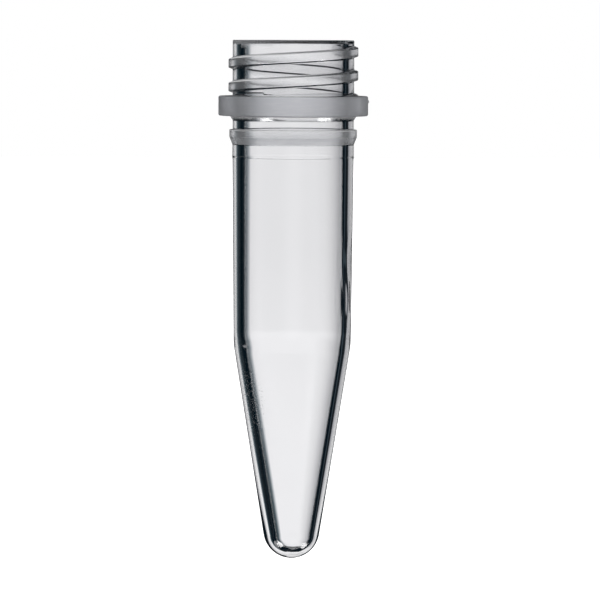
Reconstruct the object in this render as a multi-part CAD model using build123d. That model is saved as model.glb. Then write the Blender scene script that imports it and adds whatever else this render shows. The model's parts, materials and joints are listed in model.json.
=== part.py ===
"""Screw-neck microcentrifuge tube with a conical bottom, 1.5 ml class, cap off.

One injection moulding in clarified polypropylene. Millimetres, +Z up towards the mouth. The
origin is on the tube's axis, in the plane of the collar's underside, which is the plane that
the tube hangs by when it stands in a rack, block or rotor.
"""

from build123d import *
import os
from math import cos, hypot, radians, sin, tan

# Heights above and below the collar's underside
RIM_Z = 6.40
COLLAR_TOP_Z = 1.68
SKIRT_BOTTOM_Z = -0.39
BEAD_TOP_Z = -1.17
BEAD_TAPER_Z = -1.79
BEAD_BOTTOM_Z = -2.44
WITNESS_Z = -3.50
CONE_TOP_Z = -19.45
TIP_Z = -37.72

# Outside radii
NECK_R = 5.15
COLLAR_R = 6.35
SKIRT_TOP_R = 5.38
GROOVE_R = 5.13
BEAD_R = 5.41
CONE_TOP_R = 4.99
CONE_HALF_ANGLE = 9.15

# Inside: a parallel bore for the cap's plug, a drafted barrel, a cone and a flat, round-edged floor
BORE_R = 4.21
BORE_END_Z = WITNESS_Z
BARREL_FOOT_Z = -18.90
CONE_WALL = 0.90
TIP_FLOOR = 0.85
FLOOR_ROUND = 1.25

# Small radii of the moulding, and the 45 degree lead-in round the inside of the mouth
RIM_ROUND = 0.08
LEAD_IN = 0.30
COLLAR_ROUND = 0.15
ROOT_ROUND = 0.12
BEAD_ROUND = 0.06
CONE_BLEND = 6.0

# The mould's joint line round the barrel, a raised line where two cavity blocks meet
WITNESS_PROUD = 0.02
WITNESS_WIDTH = 0.10

# Cap thread: one start, right-handed, a low ridge with steep flanks
THREAD_PITCH = 2.0
THREAD_CREST_R = 5.50
THREAD_ROOT_WIDTH = 0.96
THREAD_LOWER_FLANK = 0.12
THREAD_UPPER_FLANK = 0.14
THREAD_Z_AT_PLUS_X = 1.43
THREAD_START_DEG = -40.0
THREAD_END_DEG = 722.0
THREAD_EMBED = 0.35
RUN_OUT_DEG = 45.0
RUN_OUT_OVERLAP_DEG = 1.0
RUN_OUT_SINK = 0.50

# Trace of the injection gate on the collar's edge, on the +X side
GATE_Z = 1.22
GATE_R = 0.11
GATE_PROUD = 0.07


def cone_radius(top_r, z):
    """Radius at height z of a cone that has radius top_r where the outside's cone starts."""
    return top_r - tan(radians(CONE_HALF_ANGLE)) * (CONE_TOP_Z - z)


def ball_end():
    """Where the outer ball end leaves the cone, a point half-way round it, and its lowest point."""
    slope = radians(CONE_HALF_ANGLE)
    r = cone_radius(CONE_TOP_R, TIP_Z) * cos(slope) / (1 - sin(slope))
    half = (slope + radians(90)) / 2
    touch = (r * cos(slope), TIP_Z + r - r * sin(slope))
    middle = (r * cos(half), TIP_Z + r - r * sin(half))
    return touch, middle, (0, TIP_Z)


def tube_section():
    """Half section through the wall, drawn from the ball end up to the rim and down inside."""
    touch, middle, bottom = ball_end()
    floor_z = TIP_Z + TIP_FLOOR
    foot_r = cone_radius(CONE_TOP_R - CONE_WALL, BARREL_FOOT_Z)
    floor_r = cone_radius(CONE_TOP_R - CONE_WALL, floor_z)
    line_r = NECK_R + WITNESS_PROUD
    half_line = WITNESS_WIDTH / 2
    corners = [
        (CONE_TOP_R, CONE_TOP_Z, CONE_BLEND),
        (NECK_R, WITNESS_Z - half_line, 0),
        (line_r, WITNESS_Z, 0),
        (NECK_R, WITNESS_Z + half_line, 0),
        (NECK_R, BEAD_BOTTOM_Z, ROOT_ROUND),
        (BEAD_R, BEAD_TAPER_Z, ROOT_ROUND),
        (BEAD_R, BEAD_TOP_Z, BEAD_ROUND),
        (GROOVE_R, BEAD_TOP_Z, BEAD_ROUND),
        (GROOVE_R, SKIRT_BOTTOM_Z, ROOT_ROUND),
        (SKIRT_TOP_R, 0, COLLAR_ROUND),
        (COLLAR_R, 0, COLLAR_ROUND),
        (COLLAR_R, COLLAR_TOP_Z, COLLAR_ROUND),
        (NECK_R, COLLAR_TOP_Z, ROOT_ROUND),
        (NECK_R, RIM_Z, RIM_ROUND),
        (BORE_R + LEAD_IN, RIM_Z, RIM_ROUND),
        (BORE_R, RIM_Z - LEAD_IN, RIM_ROUND),
        (BORE_R, BORE_END_Z, 0),
        (foot_r, BARREL_FOOT_Z, CONE_BLEND),
        (floor_r, floor_z, FLOOR_ROUND),
    ]
    points = [touch] + [(r, z) for r, z, _ in corners] + [(0, floor_z)]
    rounds = [rounding for _, _, rounding in corners]
    with BuildSketch(Plane.XZ) as section:
        with BuildLine():
            ThreePointArc(bottom, middle, touch)
            FilletPolyline(*points, radius=rounds)
            Line((0, floor_z), bottom)
        make_face()
    return section.sketch


def ridge_section(path):
    """Cross-section of the thread ridge, square to the start of its helix and sunk into the neck."""
    inner = NECK_R - THREAD_EMBED
    half = THREAD_ROOT_WIDTH / 2
    start = Plane(origin=path @ 0, x_dir=Vector(0, 0, 1), z_dir=path % 0)
    depth = THREAD_CREST_R - inner
    with BuildSketch(start) as section:
        with BuildLine():
            Polyline(
                (-half, 0),
                (half, 0),
                (half, THREAD_EMBED),
                (half - THREAD_UPPER_FLANK, depth),
                (-half + THREAD_LOWER_FLANK, depth),
                (-half, THREAD_EMBED),
                close=True,
            )
        make_face()
    return section.sketch


def ridge(from_deg, to_deg):
    """A stretch of the thread ridge between two angles, counted anticlockwise from +X seen from above."""
    inner = NECK_R - THREAD_EMBED
    height = THREAD_PITCH * (to_deg - from_deg) / 360
    path = Helix(pitch=THREAD_PITCH, height=height, radius=inner)
    swept = sweep(ridge_section(path), path=path, is_frenet=True)
    start_z = THREAD_Z_AT_PLUS_X + THREAD_PITCH * from_deg / 360
    return Pos(0, 0, start_z) * Rot(0, 0, from_deg) * swept


def run_out():
    """The thread's upper end, which sinks into the neck: a ridge cut down by a shifted cylinder."""
    stretch = ridge(THREAD_END_DEG - RUN_OUT_OVERLAP_DEG, THREAD_END_DEG + RUN_OUT_DEG)
    end_angle = radians(THREAD_END_DEG + RUN_OUT_DEG)
    turn = radians(RUN_OUT_DEG)
    shift = RUN_OUT_SINK / (1 - cos(turn))
    cutter_r = hypot(THREAD_CREST_R + shift * cos(turn), shift * sin(turn))
    centre = Pos(-shift * cos(end_angle), -shift * sin(end_angle), RIM_Z)
    return stretch & (centre * Cylinder(cutter_r, 4 * THREAD_PITCH))


def gate_trace():
    """The low round trace that the gate leaves on the collar's edge."""
    length = 2 * GATE_PROUD + COLLAR_ROUND
    middle_x = COLLAR_R + GATE_PROUD - length / 2
    return Pos(middle_x, 0, GATE_Z) * Rot(0, 90, 0) * Cylinder(GATE_R, length)


wall = revolve(tube_section(), axis=Axis.Z)
tube = wall + ridge(THREAD_START_DEG, THREAD_END_DEG) + run_out() + gate_trace()
tube.label = "tube"

os.makedirs("parts", exist_ok=True)
export_step(tube, "parts/tube.step")
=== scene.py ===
"""A clear screw-neck microcentrifuge tube, 1.5 ml class, with its cap off.

The real tube is one injection moulding in clarified polypropylene, so the file has one section for
the moulding, and then the floor, the light and the camera.
"""

import json
import bmesh
import bpy
import numpy as np
from math import cos, pi, radians, sin, tan
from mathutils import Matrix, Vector


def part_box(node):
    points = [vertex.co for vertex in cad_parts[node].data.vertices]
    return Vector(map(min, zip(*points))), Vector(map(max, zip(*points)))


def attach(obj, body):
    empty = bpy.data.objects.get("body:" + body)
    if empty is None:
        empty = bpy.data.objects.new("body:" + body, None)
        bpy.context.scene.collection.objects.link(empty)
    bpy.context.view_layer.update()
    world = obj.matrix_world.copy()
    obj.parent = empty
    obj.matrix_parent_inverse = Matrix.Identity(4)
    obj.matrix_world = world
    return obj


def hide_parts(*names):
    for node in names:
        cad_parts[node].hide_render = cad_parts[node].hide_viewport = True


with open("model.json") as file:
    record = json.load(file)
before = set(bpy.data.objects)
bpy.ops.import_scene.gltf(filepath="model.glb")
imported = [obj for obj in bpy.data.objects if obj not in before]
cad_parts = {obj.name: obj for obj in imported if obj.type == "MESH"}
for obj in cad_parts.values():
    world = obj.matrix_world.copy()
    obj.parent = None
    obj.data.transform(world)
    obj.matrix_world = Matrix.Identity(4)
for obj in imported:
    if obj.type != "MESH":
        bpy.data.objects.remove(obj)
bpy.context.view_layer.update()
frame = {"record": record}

# ---------------------------------------------------------------------------------------------
# Tube. One moulding in clarified polypropylene, formed between a polished core pin and a split
# cavity. The cavity is polished on the barrel and cone, and left matt on the collar, the snap
# bead and the crest of the thread. Sizes are in millimetres until the mesh is made.
# ---------------------------------------------------------------------------------------------
MM = 0.001
mount = {m["name"]: m for m in frame["record"]["mounts"]}
tube_low, tube_high = [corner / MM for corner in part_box("tube")]

# Outside, counted up and down from the collar's underside
rim_z = tube_high.z
tip_z = tube_low.z
collar_r = tube_high.y
bore_r = mount["mouth"]["dims"]["r_mm"]
bead_r = mount["rack_hole_fit"]["dims"]["r_mm"]
groove_r = mount["loop_groove"]["dims"]["r_mm"]
crest_r = mount["cap_thread"]["dims"]["r_mm"]
neck_r = 5.15
collar_top_z = 1.68
skirt_r = 5.38
skirt_bottom_z = -0.39
bead_top_z = -1.17
bead_taper_z = -1.79
bead_bottom_z = -2.44
collar_round = 0.15
root_round = 0.12
bead_round = 0.06
rim_round = 0.08
lead_in = 0.30

# The line where two blocks of the cavity meet
joint_line_z = -3.50
joint_line_proud = 0.02
joint_line_half = 0.05
joint_line_foot_round = 0.03
joint_line_top_round = 0.02

# Cone and inside
cone_top_r = 4.99
cone_top_z = -19.45
cone_half_angle = radians(9.15)
cone_slope = tan(cone_half_angle)
cone_blend = 6.0
cone_wall = 0.90
barrel_foot_z = -18.90
tip_floor = 0.85
floor_round = 1.25

# Cap thread: one start, right-handed, with the ridge's edges counted from its middle
thread_pitch = 2.0
thread_z_at_x = 1.43
thread_end_turn = 722 / 360
thread_fade_turns = 45 / 360
ridge_foot_half = 0.48
ridge_low_edge = -0.36
ridge_high_edge = 0.34
ridge_foot_round = 0.05
ridge_low_round = 0.06
ridge_high_round = 0.08

# Trace of the injection gate on the collar's edge, at +X. Its span and columns are in degrees
gate_z = 1.22
gate_r = 0.13
gate_proud = tube_high.x - collar_r
gate_steepness = 1.6
gate_span = 2.5
gate_column = 0.25
columns_round = 240

# Marks of the core pin on the inside, and of handling on the outside
core_lean = 0.03
tip_lean = 0.06
flute_depth = 0.012
flute_z = -14.5
flute_length = 6.0
flute_spread = 0.7
flute_count = 31
flute_sway = 2.5
flute_sway_length = 1.1
floor_fade = 1.3
broad_bumps = 0.012
fine_bumps = 0.008
scuff_z = -24.0
scuff_length = 6.0

# Small distances: a touch, a hair's breadth, how far a finish spreads past its place, how near the
# bore's radius counts as inside, and what counts as one and the same place
barely = 0.01
hair = 0.02
finish_spread = 0.05
mouth_margin = 0.05
same_place = 1e-6
weld_distance = 2e-7

# Steps along the outline, in millimetres and as turns of its arcs
longest_step = 1.4
longest_step_inside = 0.7
longest_step_ridge = 0.5
support_step = 0.035
small_arc_step = radians(15)
large_arc_step = radians(4.5)


def moulded_outline(corners, longest=longest_step):
    """An outline with rounded corners, as an array of (radius, height) points.

    Each corner is (radius, height, rounding). Its two sides are cut back by rounding / tan(half
    the angle between them), and the gap is closed by the arc that touches both. Straight runs are
    divided evenly, with one more point close to each end so that they shade flat.
    """
    at = np.array([(r, z) for r, z, _ in corners])
    rounding = [corner_round for _, _, corner_round in corners]
    pieces = []
    for i in range(1, len(at) - 1):
        back, on = at[i - 1] - at[i], at[i + 1] - at[i]
        back, on = back / np.linalg.norm(back), on / np.linalg.norm(on)
        half = np.arccos(np.clip(back @ on, -1, 1)) / 2
        cut = rounding[i] / np.tan(half)
        middle = at[i] + (back + on) / np.linalg.norm(back + on) * rounding[i] / np.sin(half)
        first, last = at[i] + back * cut - middle, at[i] + on * cut - middle
        turn = pi - 2 * half
        arc_step = large_arc_step if rounding[i] > 1 else small_arc_step
        steps = int(np.ceil(turn / arc_step)) if rounding[i] else 0
        share = np.linspace(0, 1, steps + 1)[:, None]
        if steps:
            arc = (first * np.sin((1 - share) * turn) + last * np.sin(share * turn)) / sin(turn)
        else:
            arc = np.zeros((1, 2))
        pieces.append(middle + arc)
    pieces = [at[:1], *pieces, at[-1:]]
    points = [pieces[0]]
    for before, after in zip(pieces, pieces[1:]):
        start, end = before[-1], after[0]
        length = np.linalg.norm(end - start)
        if length > 3 * support_step:
            inner = np.linspace(support_step, length - support_step, 2 + int(length / longest))
            points.append(start + (end - start) * (inner / length)[:, None])
        points.append(after)
    outline = np.vstack(points)
    apart = np.linalg.norm(np.diff(outline, axis=0), axis=1) > same_place
    return outline[np.concatenate([[True], apart])]


def ball_end(top_r, bottom_z):
    """The cone's radius carried down to bottom_z, and the radius of the ball that ends it there."""
    r = top_r - cone_slope * (cone_top_z - bottom_z)
    return r, r * cos(cone_half_angle) / (1 - sin(cone_half_angle))


outer_r, outer_ball = ball_end(cone_top_r, tip_z)
inner_r, _ = ball_end(cone_top_r - cone_wall, tip_z + tip_floor)

# The outside, from the tip up to the foot of the neck
below_neck = moulded_outline([
    (0, tip_z, 0),
    (outer_r, tip_z, outer_ball),
    (cone_top_r, cone_top_z, cone_blend),
    (neck_r, joint_line_z - joint_line_half, joint_line_foot_round),
    (neck_r + joint_line_proud, joint_line_z, joint_line_top_round),
    (neck_r, joint_line_z + joint_line_half, joint_line_foot_round),
    (neck_r, bead_bottom_z, root_round),
    (bead_r, bead_taper_z, root_round),
    (bead_r, bead_top_z, bead_round),
    (groove_r, bead_top_z, bead_round),
    (groove_r, skirt_bottom_z, root_round),
    (skirt_r, 0, collar_round),
    (collar_r, 0, collar_round),
    (collar_r, collar_top_z, collar_round),
    (neck_r, collar_top_z, root_round),
    (neck_r, rim_z, 0),
])
wall_start_z = collar_top_z + root_round
below_neck = below_neck[: np.argmax(below_neck[:, 1] > wall_start_z - same_place) + 1]

# Rows close together where the gate's trace crosses the collar's edge
gate_rows = 13
gate_reach = 1.1
gate_heights = gate_z + np.linspace(-gate_reach, gate_reach, gate_rows) * gate_r
gate_outline = np.stack([np.full(gate_rows, collar_r), gate_heights], axis=1)
above_gate = (below_neck[:, 0] > collar_r - barely) & (below_neck[:, 1] > gate_z)
below_neck = np.insert(below_neck, int(np.argmax(above_gate)), gate_outline, axis=0)

# From the top of the neck over the rim and down the inside
rim_and_inside = moulded_outline([
    (neck_r, wall_start_z, 0),
    (neck_r, rim_z, rim_round),
    (bore_r + lead_in, rim_z, rim_round),
    (bore_r, rim_z - lead_in, rim_round),
    (bore_r, joint_line_z, 0),
    (cone_top_r - cone_wall + cone_slope * (barrel_foot_z - cone_top_z), barrel_foot_z, cone_blend),
    (inner_r, tip_z + tip_floor, floor_round),
    (0, tip_z + tip_floor, 0),
], longest=longest_step_inside)
wall_end_z = rim_z - rim_round
rim_and_inside = rim_and_inside[np.argmax(rim_and_inside[:, 1] > wall_end_z - same_place) :]

# One turn of the thread, from half a pitch below the ridge's middle to half a pitch above it
ridge_profile = moulded_outline([
    (neck_r, -thread_pitch / 2, 0),
    (neck_r, -ridge_foot_half, ridge_foot_round),
    (crest_r, ridge_low_edge, ridge_low_round),
    (crest_r, ridge_high_edge, ridge_high_round),
    (neck_r, ridge_foot_half, ridge_foot_round),
    (neck_r, thread_pitch / 2, 0),
], longest=longest_step_ridge)


def neck_radius(z, angle):
    """Outside radius of the neck: the highest of the thread's turns at this height and angle.

    A turn's middle rises by one pitch each time round, and the ridge's height above the neck
    fades to nothing past the end of the thread as half a cosine wave.
    """
    height = np.zeros_like(z)
    for turn in range(-1, 4):
        turns = angle / (2 * pi) + turn
        middle = thread_z_at_x + thread_pitch * turns
        past = np.clip((turns - thread_end_turn) / thread_fade_turns, 0, 1)
        fade = (1 + np.cos(pi * past)) / 2
        ridge = np.interp(z - middle, ridge_profile[:, 1], ridge_profile[:, 0]) - neck_r
        height = np.maximum(height, ridge * fade)
    return neck_r + height


def with_gate(r, z, around):
    """The outside's radius with the gate's trace added, a low flat-topped dome on the collar's edge.

    It rises as clip(gate_steepness (1 - s), 0, 1), where s is the square of the distance from the
    gate's middle over its radius.
    """
    near = 1 - ((around * collar_r) ** 2 + (z - gate_z) ** 2) / gate_r**2
    dome = gate_proud * np.clip(gate_steepness * near, 0, 1)
    return r + np.where(r > collar_r - barely, dome, 0)


def polished_core(r, z, angle, around):
    """Radius and height of the inside, with the marks of the core pin's polishing.

    Flutes run down the lower barrel on the +X side. Their depth is the cosine of flute_count times
    the angle, with a slow sway up and down, faded in straight lines to nothing at flute_spread
    radians to each side and at flute_length above and below flute_z. The floor's height is uneven
    by two cosines of the angle, faded out towards the middle and over floor_fade above the floor.
    """
    beside = np.clip(1 - np.abs(around) / flute_spread, 0, 1)
    along = np.clip(1 - np.abs(z - flute_z) / flute_length, 0, 1)
    wave = np.cos(flute_count * angle + flute_sway * np.sin(z / flute_sway_length))
    r = r + (r < bore_r + barely) * flute_depth * beside * along * wave
    at_floor = np.clip((tip_z + tip_floor + floor_fade - z) / floor_fade, 0, 1) * (r / inner_r)
    broad = broad_bumps * np.cos(3 * angle + 0.6)
    fine = fine_bumps * np.cos(7 * angle + 2.0)
    return r, z + at_floor * (broad + fine)


def tube_surface():
    """The whole skin of the wall as one grid of points: outline along one way, angle the other.

    Rows run up the outside, over the rim and down inside, and are level circles except on the
    neck. There they climb one pitch in a turn, so that they follow the ridge's edges, and are
    cut off level at the collar and the rim. Columns are closer together at the gate, on +X. The
    core pin leaned a little towards the gate, so the inside is shifted along X by
    core_lean + tip_lean depth^3, with depth counted from 0 at the rim to 1 at the tip.

    Gives x, y and z, the radius r, whether a point is inside, its height above the middle of the
    nearest turn of the thread, and how many turns along the thread that is.
    """
    at_gate = np.radians(np.arange(-gate_span, gate_span + barely, gate_column))
    angle = np.linspace(at_gate[-1], 2 * pi + at_gate[0], columns_round)
    angle = np.concatenate([at_gate, angle[1:]])[None, :]
    around = (angle + pi) % (2 * pi) - pi
    level = np.ones_like(angle)

    climb = thread_z_at_x + thread_pitch * angle / (2 * pi)
    offsets = np.concatenate([ridge_profile[:-1, 1] + thread_pitch * turn for turn in range(-2, 4)])
    neck_z = np.clip(offsets[:, None] + climb, wall_start_z, wall_end_z)
    neck_outside = neck_radius(neck_z, angle * np.ones_like(neck_z))

    low_r, low_z = below_neck[:, :1] * level, below_neck[:, 1:] * level
    over_collar = np.maximum(low_r, neck_radius(low_z, angle * np.ones_like(low_z)))
    low_r = np.where(low_z > collar_top_z - same_place, over_collar, low_r)
    low_r = with_gate(low_r, low_z, around)

    top_r, top_z = rim_and_inside[:, :1] * level, rim_and_inside[:, 1:] * level
    top_r, top_z = polished_core(top_r, top_z, angle, around)

    r = np.vstack([low_r, neck_outside, top_r])
    z = np.vstack([low_z, neck_z, top_z])
    rows_outside = len(low_r) + len(neck_z)
    first_inside = rows_outside + int(np.argmax(rim_and_inside[:, 0] < bore_r + mouth_margin))
    inside = np.arange(len(r))[:, None] * level >= first_inside
    depth = (rim_z - z) / (rim_z - tip_z)
    x = r * np.cos(angle) + np.where(inside, core_lean + tip_lean * depth**3, 0)
    y = r * np.sin(angle)

    turns_up = (z - thread_z_at_x) / thread_pitch - angle / (2 * pi)
    above_ridge = (turns_up - np.round(turns_up)) * thread_pitch
    turns = angle / (2 * pi) + np.round(turns_up)
    return x, y, z, r, inside, above_ridge, turns


def moulded_finish(x, y, z, r, inside, above_ridge, turns):
    """How matt, how milky and how scuffed the skin is at each point, each from 0 to 1.

    The cavity's finish goes by place: the first place in the list that a point lies in gives its
    matt and milky values, and the core pin's side is clear all over. Where a value changes from -X
    to +X, or from the near side (-Y) to the far side (+Y), it is painted light and shade: that side
    is made greyer, whiter or clearer to set how light or dark it looks. On the neck the far side is
    made rougher, and greyer and milkier as painted shade, by a share that grows in a straight line
    from y = -neck_r / 2 to y = neck_r / 2. The scuffs lie on the cone's -X side, and fade out above
    and below scuff_z.
    """
    # Share of the far side, +Y, from none at the front to all at the back; it sets where painted
    # light and shade go.
    behind = np.clip(0.5 + y / neck_r, 0, 1)
    over_collar = z > collar_top_z + finish_spread
    # Far-side share above the collar: how much painted shade the neck's far side gets.
    far_side_shading = behind * over_collar
    across = x / neck_r
    on_rim = z > rim_z - lead_in - finish_spread
    on_collar = (r > crest_r + finish_spread) & (z > -hair) & (z < collar_top_z + hair)
    off_groove = r > groove_r + 2 * hair
    on_bead = off_groove & (z < bead_top_z + finish_spread) & (z > bead_bottom_z)
    on_taper = on_bead & (z < bead_taper_z + finish_spread)
    on_bead_top = (np.abs(z - bead_top_z) < 4 * hair) & (r > groove_r - barely)
    on_skirt = off_groove & (z < 0) & (z > skirt_bottom_z)
    on_ridge = (r > neck_r + hair) & (z > collar_top_z)
    lower_flank = on_ridge & (above_ridge < ridge_low_edge + hair)
    upper_flank = on_ridge & (above_ridge > ridge_high_edge - 2 * hair)
    by_ridge = np.abs(above_ridge) < ridge_foot_half + 4 * hair
    near_ridge = by_ridge & over_collar & (turns < thread_end_turn)
    # Where a value changes with across or with the far-side share, its grey and white are painted
    # light and shade: the front of the bead's top edge is whitened as a painted highlight, and the
    # rim, the bead's taper and the thread's flanks are greyer, whiter or clearer on one side than the
    # other.
    finishes = [
        # place, matt, milky
        (on_rim & (r < neck_r + barely), 0.4 - 0.3 * across, 0.09 - 0.09 * across),
        (on_collar, 1.0, 0.22),
        (on_taper, 0.85 - 0.3 * np.abs(across), 0.2),
        (on_bead_top, 0.3 + 0.7 * behind, 0.5 * (1 - behind)),
        (on_bead, 0.35, 0.18),
        (on_skirt, 0.25, 0.35),
        (lower_flank, 0.05 + 0.95 * far_side_shading, 0.0),
        (upper_flank, 0.35 + 0.65 * far_side_shading, (0.45 - 0.4 * across) * (1 - far_side_shading)),
        (on_ridge, 0.3 + 0.15 * far_side_shading, 0.12 + 0.05 * far_side_shading),
        (near_ridge, 0.6 * far_side_shading, 0.2 * far_side_shading),
    ]
    places = [place for place, _, _ in finishes]
    matt = np.select(places, [value for _, value, _ in finishes], 0.06 * far_side_shading)
    milky = np.select(places, [value for _, _, value in finishes], 0.0)
    on_minus_x = np.clip(-x / np.maximum(r, barely) * 3 - 1, 0, 1) * (y < 0)
    scuffed = np.clip(1 - np.abs(z - scuff_z) / scuff_length, 0, 1) * on_minus_x
    clear = inside & ~on_rim
    return {
        "matt": np.where(clear, 0.0, matt),
        "milky": np.where(clear, 0.0, milky),
        "scuffed": np.where(clear, 0.0, scuffed),
    }


def tube_mesh():
    """Makes the closed mesh: four-sided faces between neighbouring rows and columns, then a weld."""
    surface = tube_surface()
    x, y, z = surface[:3]
    rows, columns = x.shape
    points = np.stack([x, y, z], axis=-1).reshape(-1, 3) * MM
    corner = np.arange(rows * columns).reshape(rows, columns)
    faces = np.stack([corner[:-1, :-1], corner[:-1, 1:], corner[1:, 1:], corner[1:, :-1]], axis=-1)
    mesh = bpy.data.meshes.new("tube_moulding")
    mesh.from_pydata(points.tolist(), [], faces.reshape(-1, 4).tolist())
    for name, values in moulded_finish(*surface).items():
        attribute = mesh.attributes.new(name, "FLOAT", "POINT")
        attribute.data.foreach_set("value", values.reshape(-1).astype(np.float32))
    welded = bmesh.new()
    welded.from_mesh(mesh)
    bmesh.ops.remove_doubles(welded, verts=welded.verts, dist=weld_distance)
    loose = [vertex for vertex in welded.verts if not vertex.link_faces]
    bmesh.ops.delete(welded, geom=loose, context="VERTS")
    welded.to_mesh(mesh)
    welded.free()
    mesh.shade_smooth()
    return mesh


# Colours are what is left of white light at each passage through the skin, polished and matt. The
# matt colour is also painted shade where the matt share changes from side to side.
polished_tints = [(0.975, 0.980, 0.984, 1), (0.990, 0.990, 0.994, 1)]
matt_and_shade_tint = (0.78, 0.79, 0.83, 1)
refractive_index = 1.49
polished_roughness = (0.008, 0.022)
speck_roughness = 0.10
scratch_roughness = 0.45
matt_roughness = 0.44
grain_roughness = 0.006
skin_relief = 0.002 * MM
skin_strength = 0.15

# Noise scales, in waves per metre: clouds about 2 mm across, level streaks half as long and a
# seventh as high as that, the skin's waviness, specks, scratches, and the grain of the matt places.
cloud_scale = 450.0
streak_scale = 900.0
streak_flattening = 7
waviness_scale = 1500.0
speck_scale = 5200.0
scratch_scale = 9000.0
grain_scale = 22000.0

# Noise levels: what most of a noise lies between, and where the polish's clouds, the specks and
# the scratches start and are full. Then how far clouds and streaks take the milkiness and dullness.
noise_levels = (0.3, 0.7)
polish_levels = (0.35, 0.75)
speck_levels = (0.68, 0.76)
scratch_levels = (0.60, 0.66)
milky_clouding = (0.85, 1.1)
dull_streaking = (0.7, 1.3)


def scaled(value, low, high, to_low=0.0, to_high=1.0):
    """A socket's value taken in a straight line from low..high to to_low..to_high, held beyond."""
    tree = value.id_data
    node = tree.nodes.new("ShaderNodeMapRange")
    node.inputs["From Min"].default_value = low
    node.inputs["From Max"].default_value = high
    node.inputs["To Min"].default_value = to_low
    node.inputs["To Max"].default_value = to_high
    tree.links.new(value, node.inputs["Value"])
    return node.outputs["Result"]


def polypropylene():
    """Clear polypropylene: refracting and polished, and blasted matt in places.

    The mesh's attribute "matt" raises the roughness and dulls the colour, "milky" turns part of
    the refraction into plain white scatter, and "scuffed" lets the scratches show. Where "matt" and
    "milky" change from side to side, the dulled colour is painted shade and the white scatter is
    painted light. The specks and the polish's clouds are everywhere.
    """
    material = bpy.data.materials.new("clear_polypropylene")
    material.use_nodes = True
    nodes, links = material.node_tree.nodes, material.node_tree.links
    shader = nodes["Principled BSDF"]
    shader.inputs["IOR"].default_value = refractive_index
    place = nodes.new("ShaderNodeTexCoord").outputs["Object"]

    def noise(scale, detail, at=place):
        """Cloudy noise from 0 to 1, with its waves about 1 / scale metres long."""
        node = nodes.new("ShaderNodeTexNoise")
        node.inputs["Scale"].default_value = scale
        node.inputs["Detail"].default_value = detail
        links.new(at, node.inputs["Vector"])
        return node.outputs["Fac"]

    def together(operation, first, second):
        """Two values added or multiplied."""
        node = nodes.new("ShaderNodeMath")
        node.operation = operation
        links.new(first, node.inputs[0])
        links.new(second, node.inputs[1])
        return node.outputs[0]

    def mixed(factor):
        """A colour mix with its factor linked, and its two colours still to be set."""
        node = nodes.new("ShaderNodeMix")
        node.data_type = "RGBA"
        links.new(factor, node.inputs["Factor"])
        return node

    def painted(name):
        """The value that the mesh holds under this name."""
        node = nodes.new("ShaderNodeAttribute")
        node.attribute_name = name
        return node.outputs["Fac"]

    matt = painted("matt")
    grain = noise(grain_scale, detail=2.0)
    clouds = noise(cloud_scale, detail=4.0)
    specks = scaled(noise(speck_scale, detail=2.0), *speck_levels, 0.0, speck_roughness)
    polish = together("ADD", scaled(clouds, *polish_levels, *polished_roughness), specks)
    scratches = scaled(noise(scratch_scale, detail=1.0), *scratch_levels, 0.0, scratch_roughness)
    worn = together("ADD", polish, together("MULTIPLY", painted("scuffed"), scratches))
    blasted = together("ADD", worn, scaled(matt, 0.0, 1.0, 0.0, matt_roughness))
    grainy = scaled(grain, *noise_levels, -grain_roughness, grain_roughness)
    links.new(together("ADD", blasted, grainy), shader.inputs["Roughness"])

    # The milky share turns refraction into white scatter; where it changes from side to side this is
    # painted light.
    clouding = scaled(clouds, *noise_levels, *milky_clouding)
    milky = together("MULTIPLY", painted("milky"), clouding)
    links.new(scaled(milky, 0.0, 1.0, 1.0, 0.0), shader.inputs["Transmission Weight"])

    flattened = nodes.new("ShaderNodeMapping")
    flattened.inputs["Scale"].default_value = (1, 1, streak_flattening)
    links.new(place, flattened.inputs["Vector"])
    streaks = noise(streak_scale, detail=5.0, at=flattened.outputs["Vector"])
    streaking = scaled(streaks, *noise_levels, *dull_streaking)
    tint = mixed(clouds)
    tint.inputs["A"].default_value, tint.inputs["B"].default_value = polished_tints
    # The matt share dulls the colour towards the grey tint; where it changes from side to side this
    # is painted shade.
    dulled = mixed(together("MULTIPLY", matt, streaking))
    links.new(tint.outputs["Result"], dulled.inputs["A"])
    dulled.inputs["B"].default_value = matt_and_shade_tint
    links.new(dulled.outputs["Result"], shader.inputs["Base Color"])

    skin = nodes.new("ShaderNodeBump")
    skin.inputs["Distance"].default_value = skin_relief
    skin.inputs["Strength"].default_value = skin_strength
    waves = noise(waviness_scale, detail=3.0)
    links.new(together("ADD", waves, together("MULTIPLY", grain, matt)), skin.inputs["Height"])
    links.new(skin.outputs["Normal"], shader.inputs["Normal"])
    return material


tube = bpy.data.objects.new("tube_moulding", tube_mesh())
bpy.context.scene.collection.objects.link(tube)
tube.data.materials.append(polypropylene())
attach(tube, "root")
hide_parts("tube")

# ---------------------------------------------------------------------------------------------
# Floor. A plain white sheet of card well under the tip. It is lit evenly all over, and it is
# left out of what is seen through the plastic, as it is when the tube stands in front of a lamp.
# ---------------------------------------------------------------------------------------------
floor_drop = 12 * MM
floor_half = 1500 * MM
floor_glow = 0.75
fibre_scale = 2500.0
fibre_tones = (0.915, 0.945)
fibre_roughness = (0.85, 0.95)
fibre_relief = 0.02 * MM
fibre_strength = 0.2


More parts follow.
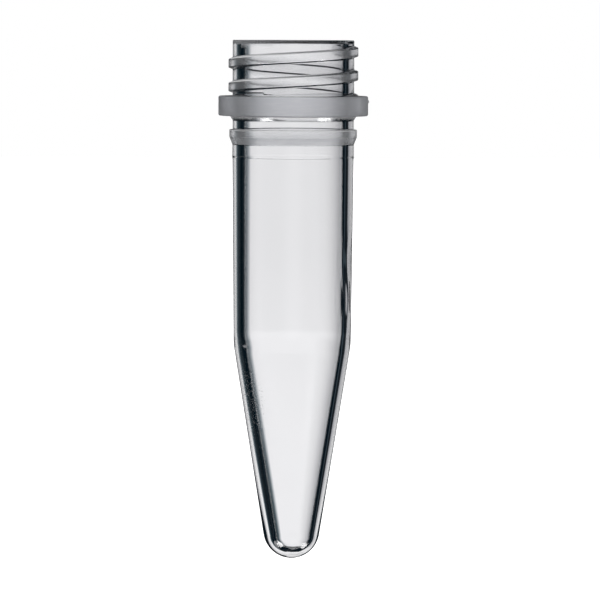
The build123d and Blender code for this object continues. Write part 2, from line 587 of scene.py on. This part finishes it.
def white_card():
    """Matt white card of pressed fibres: noise shifts its tone and roughness and raises its tooth."""
    material = bpy.data.materials.new("white_card")
    material.use_nodes = True
    nodes, links = material.node_tree.nodes, material.node_tree.links
    shader = nodes["Principled BSDF"]
    place = nodes.new("ShaderNodeTexCoord")
    fibres = nodes.new("ShaderNodeTexNoise")
    fibres.inputs["Scale"].default_value = fibre_scale
    fibres.inputs["Detail"].default_value = 4.0
    links.new(place.outputs["Object"], fibres.inputs["Vector"])
    colour = nodes.new("ShaderNodeMix")
    colour.data_type = "RGBA"
    for side, tone in zip("AB", fibre_tones):
        colour.inputs[side].default_value = (tone, tone, tone, 1)
    links.new(fibres.outputs["Fac"], colour.inputs["Factor"])
    links.new(colour.outputs["Result"], shader.inputs["Base Color"])
    roughness = scaled(fibres.outputs["Fac"], 0.0, 1.0, *fibre_roughness)
    links.new(roughness, shader.inputs["Roughness"])
    tooth = nodes.new("ShaderNodeBump")
    tooth.inputs["Distance"].default_value = fibre_relief
    tooth.inputs["Strength"].default_value = fibre_strength
    links.new(fibres.outputs["Fac"], tooth.inputs["Height"])
    links.new(tooth.outputs["Normal"], shader.inputs["Normal"])
    shader.inputs["Emission Color"].default_value = (1, 1, 1, 1)
    shader.inputs["Emission Strength"].default_value = floor_glow
    return material


floor_mesh = bpy.data.meshes.new("floor")
floor_z = tube_low.z * MM - floor_drop
floor_mesh.from_pydata(
    [(-floor_half, -floor_half, floor_z), (floor_half, -floor_half, floor_z),
     (floor_half, floor_half, floor_z), (-floor_half, floor_half, floor_z)],
    [], [(0, 1, 2, 3)],
)
floor = bpy.data.objects.new("floor", floor_mesh)
bpy.context.scene.collection.objects.link(floor)
floor.data.materials.append(white_card())
floor.visible_transmission = False
floor.visible_glossy = False
floor.visible_diffuse = False

# ---------------------------------------------------------------------------------------------
# Light. Soft white cards stand behind the tube, one for each side that it is seen from, with dark
# flags between them. Clear plastic shows the card behind it, and its edges, which bend the light
# most, pick up the dark flags. Everything matt is lit by even white light. Bearings count from
# straight behind (+Y) towards +X, and pitches up from level, in degrees.
# ---------------------------------------------------------------------------------------------
all_round = 1e6
white = (1.0, 1.0, 1.0)
card_white = (0.90, 0.895, 0.905)
flag = (0.0006, 0.0042, 0.0075)

# Cards, as bearing, pitch, half width and half height: behind, then for the other views and below.
main_card = (0.0, -3.6, 28.0, 30.0)
other_cards = [
    (-90.0, -3.0, 25.0, 12.0),
    (90.0, -3.0, 25.0, 12.0),
    (180.0, -3.0, 25.0, 12.0),
    (-45.0, -25.0, 25.0, 10.0),
    (135.0, -15.0, 25.0, 9.0),
    (0.0, -90.0, all_round, 24.0),
]

# How a card falls off from its middle, in stops of distance and colour for a card whose half width
# is card_half. The nearest distance, squared, keeps the sharing between sides from dividing by 0.
card_reach = 60.0
nearest_squared = 0.01
card_half = 28.0
left_side = [
    (0, card_white), (16.5, card_white), (19, (0.58, 0.60, 0.62)), (21.5, (0.30, 0.325, 0.345)),
    (24.5, (0.115, 0.145, 0.160)), (28, (0.052, 0.078, 0.094)), (31, (0.019, 0.036, 0.044)),
    (34, (0.008, 0.018, 0.024)), (41, (0.005, 0.013, 0.018)), (46, flag), (60, flag),
]
right_side = [
    (0, card_white), (4, card_white), (10, (0.74, 0.735, 0.745)), (15, (0.63, 0.625, 0.64)),
    (20, (0.56, 0.555, 0.57)), (26, (0.45, 0.45, 0.47)), (31, (0.30, 0.31, 0.33)), (35, flag),
    (46, flag), (49, (0.05, 0.07, 0.085)), (52, flag),
]
above_and_below = [
    (0, card_white), (23.5, card_white), (26, (0.45, 0.46, 0.48)), (28, flag), (60, flag),
]
side_blend = 1.2
upright_from, upright_to = 0.6, 0.9

# Light that has bounced inside the wall meets narrower, dimmer cards. The cards are a little
# brighter low down, from low_from to low_to.
bounce_narrowing = 0.12
bounce_dimming = 0.7
second_bounce_dimming = 0.85
low_from, low_to = -2.5, -5.5
high_gain, low_gain = 1.02, 1.14

# Reflections off the outside see dimmed cards and two small lamps low at the sides.
reflection_dimming = 0.85
lamps = [(-110.0, -51.0), (93.0, -51.0)]
lamp_outer, lamp_inner = radians(13), radians(7)
lamp_strength = 14.0


def studio_light():
    """World light: white to the eye and for matt surfaces, cards and flags through the plastic.

    How far a ray passes from a card's middle is card_half sqrt((across / half width)^2 + (along /
    half height)^2), with across and along its offsets in bearing and pitch. The card's colour is
    read from rows of stops by that distance: one each for the left and right side, blended by
    across / distance, and one for above and below, where along / distance is large. The brightest
    card wins.
    """
    world = bpy.data.worlds.new("studio")
    world.use_nodes = True
    nodes, links = world.node_tree.nodes, world.node_tree.links
    nodes.clear()

    def math(operation, first, second=None, third=None):
        """One step of arithmetic on numbers or sockets."""
        node = nodes.new("ShaderNodeMath")
        node.operation = operation
        for socket, value in zip(node.inputs, (first, second, third)):
            if isinstance(value, (int, float)):
                socket.default_value = value
            elif value is not None:
                links.new(value, socket)
        return node.outputs[0]

    def blend(factor, below, above, mode="MIX"):
        """Two colours blended by a factor, each a number, a colour or a socket."""
        node = nodes.new("ShaderNodeMix")
        node.data_type = "RGBA"
        node.blend_type = mode
        sockets = (node.inputs["Factor"], node.inputs["A"], node.inputs["B"])
        for socket, value in zip(sockets, (factor, below, above)):
            if isinstance(value, tuple):
                socket.default_value = (*value, 1)
            elif isinstance(value, (int, float)):
                socket.default_value = value
            else:
                links.new(value, socket)
        return node.outputs["Result"]

    def ramp(distance, stops):
        """The colour at a distance from a card's middle, read between the row's stops."""
        node = nodes.new("ShaderNodeValToRGB")
        elements = node.color_ramp.elements
        while len(elements) < len(stops):
            elements.new(0.5)
        for element, (position, colour) in zip(elements, stops):
            element.position = position / card_reach
            element.color = (*colour, 1)
        links.new(math("DIVIDE", distance, card_reach), node.inputs["Fac"])
        return node.outputs["Color"]

    direction = nodes.new("ShaderNodeTexCoord").outputs["Generated"]
    axes = nodes.new("ShaderNodeSeparateXYZ")
    links.new(direction, axes.inputs["Vector"])
    x, y, z = axes.outputs
    bearing = math("DEGREES", math("ARCTAN2", x, y))
    pitch = math("DEGREES", math("ARCSINE", z))

    path = nodes.new("ShaderNodeLightPath").outputs
    bounces = path["Glossy Depth"]
    bounced = math("MINIMUM", bounces, 1.0)
    narrowed = math("MULTIPLY_ADD", bounced, bounce_narrowing, 1.0)

    def card(bearing_middle, pitch_middle, half_width, half_height):
        """What a ray sees of one card."""
        across = math("WRAP", math("SUBTRACT", bearing, bearing_middle), 180.0, -180.0)
        across = math("MULTIPLY", math("MULTIPLY", across, narrowed), card_half / half_width)
        along = math("MULTIPLY", math("SUBTRACT", pitch, pitch_middle), card_half / half_height)
        squares = math("ADD", math("MULTIPLY", across, across), math("MULTIPLY", along, along))
        distance = math("SQRT", math("MAXIMUM", squares, nearest_squared))
        side = math("MULTIPLY_ADD", math("DIVIDE", across, distance), side_blend, 0.5)
        level = blend(side, ramp(distance, left_side), ramp(distance, right_side))
        steepness = math("DIVIDE", math("ABSOLUTE", along), distance)
        upright = scaled(steepness, upright_from, upright_to)
        return blend(upright, level, ramp(distance, above_and_below))

    side_cards = card(*other_cards[0])
    for other_card in other_cards[1:]:
        side_cards = blend(1.0, side_cards, card(*other_card), "LIGHTEN")
    side_cards = blend(math("MULTIPLY", bounced, bounce_dimming), side_cards, flag)
    cards = blend(1.0, card(*main_card), side_cards, "LIGHTEN")
    gain = scaled(pitch, low_from, low_to, high_gain, low_gain)
    cards = blend(1.0, cards, gain, "MULTIPLY")
    twice = math("GREATER_THAN", bounces, 1.5)
    cards = blend(math("MULTIPLY", twice, second_bounce_dimming), cards, flag)

    reflected = blend(reflection_dimming, cards, flag)
    for lamp_bearing, lamp_pitch in lamps:
        turn, tilt = radians(lamp_bearing), radians(lamp_pitch)
        towards = nodes.new("ShaderNodeVectorMath")
        towards.operation = "DOT_PRODUCT"
        links.new(direction, towards.inputs[0])
        towards.inputs[1].default_value = (sin(turn) * cos(tilt), cos(turn) * cos(tilt), sin(tilt))
        nearness = towards.outputs["Value"]
        glow = scaled(nearness, cos(lamp_outer), cos(lamp_inner), 0.0, lamp_strength)
        reflected = blend(1.0, reflected, glow, "ADD")

    seen = blend(path["Is Transmission Ray"], reflected, cards)
    seen = blend(path["Is Diffuse Ray"], seen, white)
    seen = blend(path["Is Camera Ray"], seen, white)
    background = nodes.new("ShaderNodeBackground")
    output = nodes.new("ShaderNodeOutputWorld")
    links.new(seen, background.inputs["Color"])
    links.new(background.outputs["Background"], output.inputs["Surface"])
    return world


bpy.context.scene.world = studio_light()

# ---------------------------------------------------------------------------------------------
# Camera. A long lens a little above the tube's middle, turned a quarter of a degree about its own
# axis. Depth of field stays off. Clear walls need many passes of light, two for each surface.
# ---------------------------------------------------------------------------------------------
lens = 250.0
sensor = 36.0
frame_width = 51.04
elevation = radians(3.7)
roll = radians(0.27)
aim = Vector((0.65, 0, -15.66)) * MM

camera_data = bpy.data.cameras.new("camera")
camera_data.lens = lens
camera_data.sensor_width = sensor
camera_data.clip_start = 0.01
camera_data.clip_end = 10
camera = bpy.data.objects.new("camera", camera_data)
bpy.context.scene.collection.objects.link(camera)
distance = frame_width * MM * lens / sensor
back = Vector((0, -cos(elevation), sin(elevation)))
camera.location = aim + back * distance
turned = (-back).to_track_quat("-Z", "Y").to_matrix().to_4x4()
turned.translation = camera.location
camera.matrix_world = turned
camera.rotation_euler.rotate_axis("Z", roll)
bpy.context.scene.camera = camera

scene = bpy.context.scene
scene.view_settings.view_transform = "Standard"
scene.cycles.max_bounces = 24
scene.cycles.transmission_bounces = 20
scene.cycles.glossy_bounces = 8
scene.cycles.transparent_max_bounces = 8
